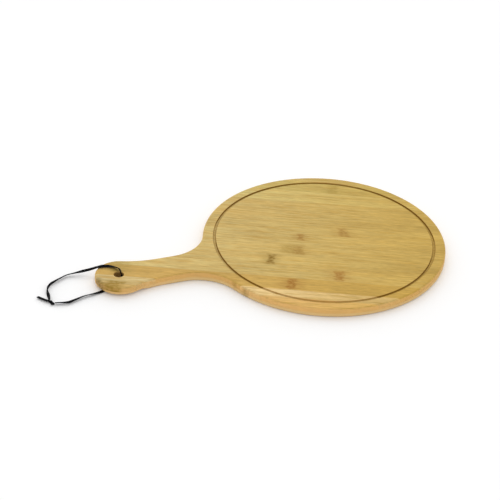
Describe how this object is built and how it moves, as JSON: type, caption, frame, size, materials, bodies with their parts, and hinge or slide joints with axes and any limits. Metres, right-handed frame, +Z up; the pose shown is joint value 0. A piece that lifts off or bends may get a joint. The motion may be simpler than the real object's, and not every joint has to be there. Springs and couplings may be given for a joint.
{
  "type": "round serving board",
  "caption": "Round bamboo serving board with a juice groove and a waisted paddle handle, and a flat lace tied through the hanging hole in the handle's round end.",
  "frame": {"origin": "middle of the disc's underside, on the surface that the board lies on", "axes": "+Z up out of the serving face, -X from the disc's middle along the handle to its round end"},
  "size_m": [0.4317, 0.25, 0.0142],
  "materials": {
    "bamboo": "oiled bamboo, satin",
    "lace": "black flat thong, slight sheen"
  },
  "bodies": {
    "board": {"bottom_grip_strip_01": "bamboo", "bottom_grip_strip_02": "bamboo", "bottom_strip_01": "bamboo", "bottom_strip_02": "bamboo", "bottom_strip_03": "bamboo", "bottom_strip_04": "bamboo", "bottom_strip_05": "bamboo", "bottom_strip_06": "bamboo", "bottom_strip_07": "bamboo", "bottom_strip_08": "bamboo", "bottom_strip_09": "bamboo", "bottom_strip_10": "bamboo", "bottom_strip_11": "bamboo", "bottom_strip_12": "bamboo", "top_grip_strip_01": "bamboo", "top_grip_strip_02": "bamboo", "top_strip_01": "bamboo", "top_strip_02": "bamboo", "top_strip_03": "bamboo", "top_strip_04": "bamboo", "top_strip_05": "bamboo", "top_strip_06": "bamboo", "top_strip_07": "bamboo", "top_strip_08": "bamboo", "top_strip_09": "bamboo", "top_strip_10": "bamboo", "top_strip_11": "bamboo", "top_strip_12": "bamboo", "top_strip_13": "bamboo"},
    "lanyard": {"lanyard_cord": "lace", "lanyard_knot": "lace", "lanyard_tail_long": "lace", "lanyard_tail_short": "lace"}
  },
  "joints": [
    {"name": "lanyard_swing", "type": "hinge", "parent": "board", "child": "lanyard", "pos_m": [-0.2213, 0, 0.005], "axis": [0, 0, 1], "range_deg": [-45, 45]}
  ]
}
